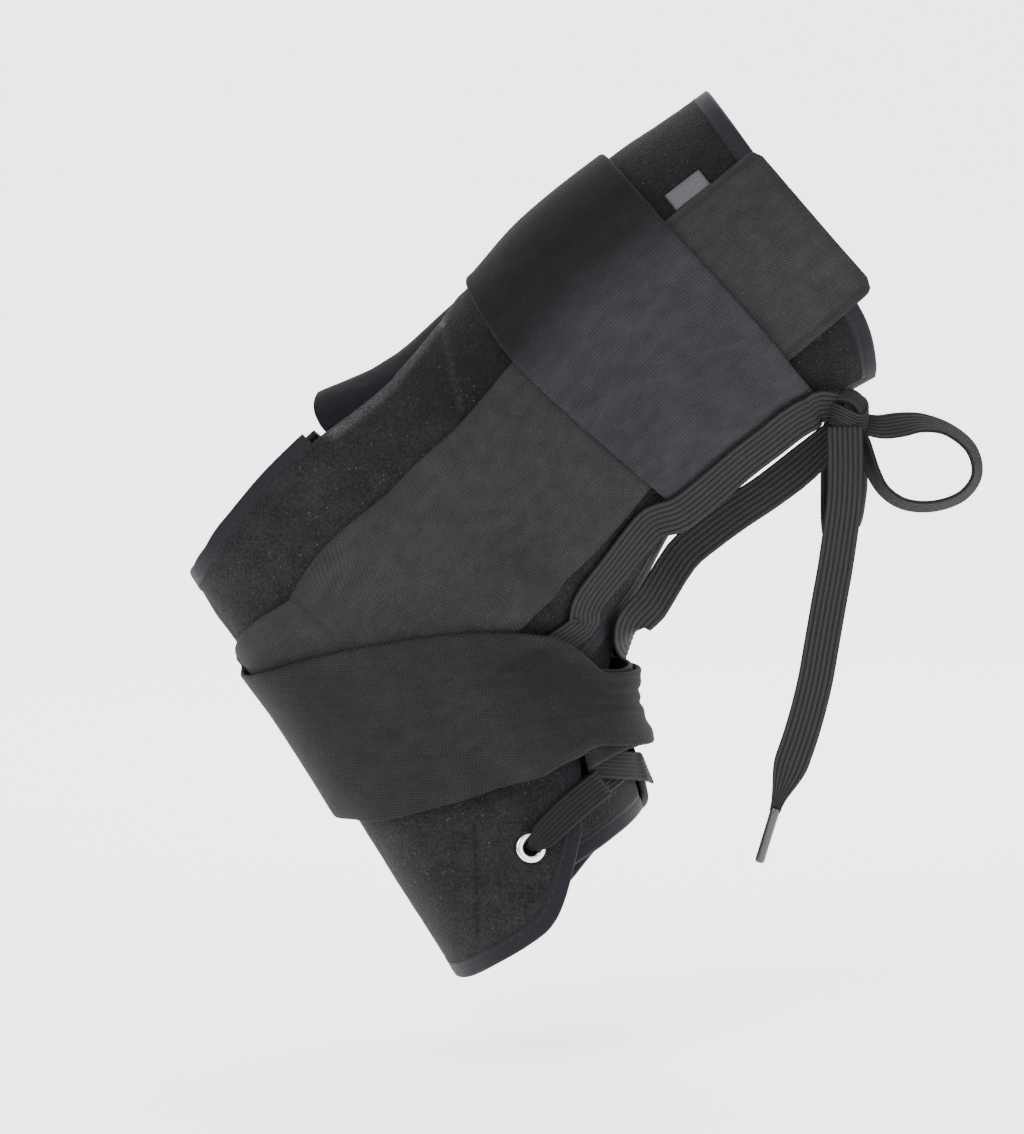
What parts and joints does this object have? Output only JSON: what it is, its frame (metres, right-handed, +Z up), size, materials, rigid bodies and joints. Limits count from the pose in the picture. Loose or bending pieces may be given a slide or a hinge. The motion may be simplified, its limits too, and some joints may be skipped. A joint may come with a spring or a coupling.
{
  "type": "lace-up ankle brace",
  "caption": "Lace-up ankle brace as worn, with an open heel, figure-of-eight stabilising straps over the instep, a cuff strap round the leg and a tied lace.",
  "frame": {"origin": "centre of the ankle joint, inside the space that the foot and leg fill", "axes": "+X forward as the picture's right, +Y to the inner side of the right foot, +Z up, in the worn attitude with the toes pointing down"},
  "size_m": [0.2308, 0.0935, 0.2617],
  "materials": {
    "pile": "short looped pile, matt, with fine bright flecks",
    "binding": "folded satin tape",
    "gusset": "smooth knitted panel",
    "webbing": "twill webbing with a brushed face",
    "knit": "brushed elastic knit",
    "label": "plain woven tape, bare",
    "lace": "flat ribbed braid",
    "aglet": "smooth",
    "eyelet_metal": "bright plated"
  },
  "bodies": {
    "root": {"body_lateral": "pile", "body_medial": "pile", "rim_binding_lateral": "binding", "rim_binding_medial": "binding", "heel_binding_lateral": "binding", "heel_binding_medial": "binding", "heel_gusset": "gusset", "tongue": "pile", "tongue_binding_top": "binding", "tongue_binding_front": "binding", "strap_lateral": "webbing", "strap_medial": "webbing", "cuff_strap": "knit", "label_tag": "label", "eyelet_lateral_1": "eyelet_metal", "eyelet_lateral_2": "eyelet_metal", "eyelet_lateral_3": "eyelet_metal", "eyelet_lateral_4": "eyelet_metal", "eyelet_medial_1": "eyelet_metal", "eyelet_medial_2": "eyelet_metal", "eyelet_medial_3": "eyelet_metal", "eyelet_medial_4": "eyelet_metal", "lace_cross_lateral_1": "lace", "lace_cross_lateral_2": "lace", "lace_cross_lateral_3": "lace", "lace_cross_medial_1": "lace", "lace_cross_medial_2": "lace", "lace_cross_medial_3": "lace", "lace_upper_lateral": "lace", "lace_upper_medial": "lace", "lace_knot": "lace", "lace_loop_front": "lace", "lace_loop_rear": "lace", "lace_end_front": "lace", "lace_end_rear": "lace", "aglet_front": "aglet", "aglet_rear": "aglet"}
  },
  "joints": []
}
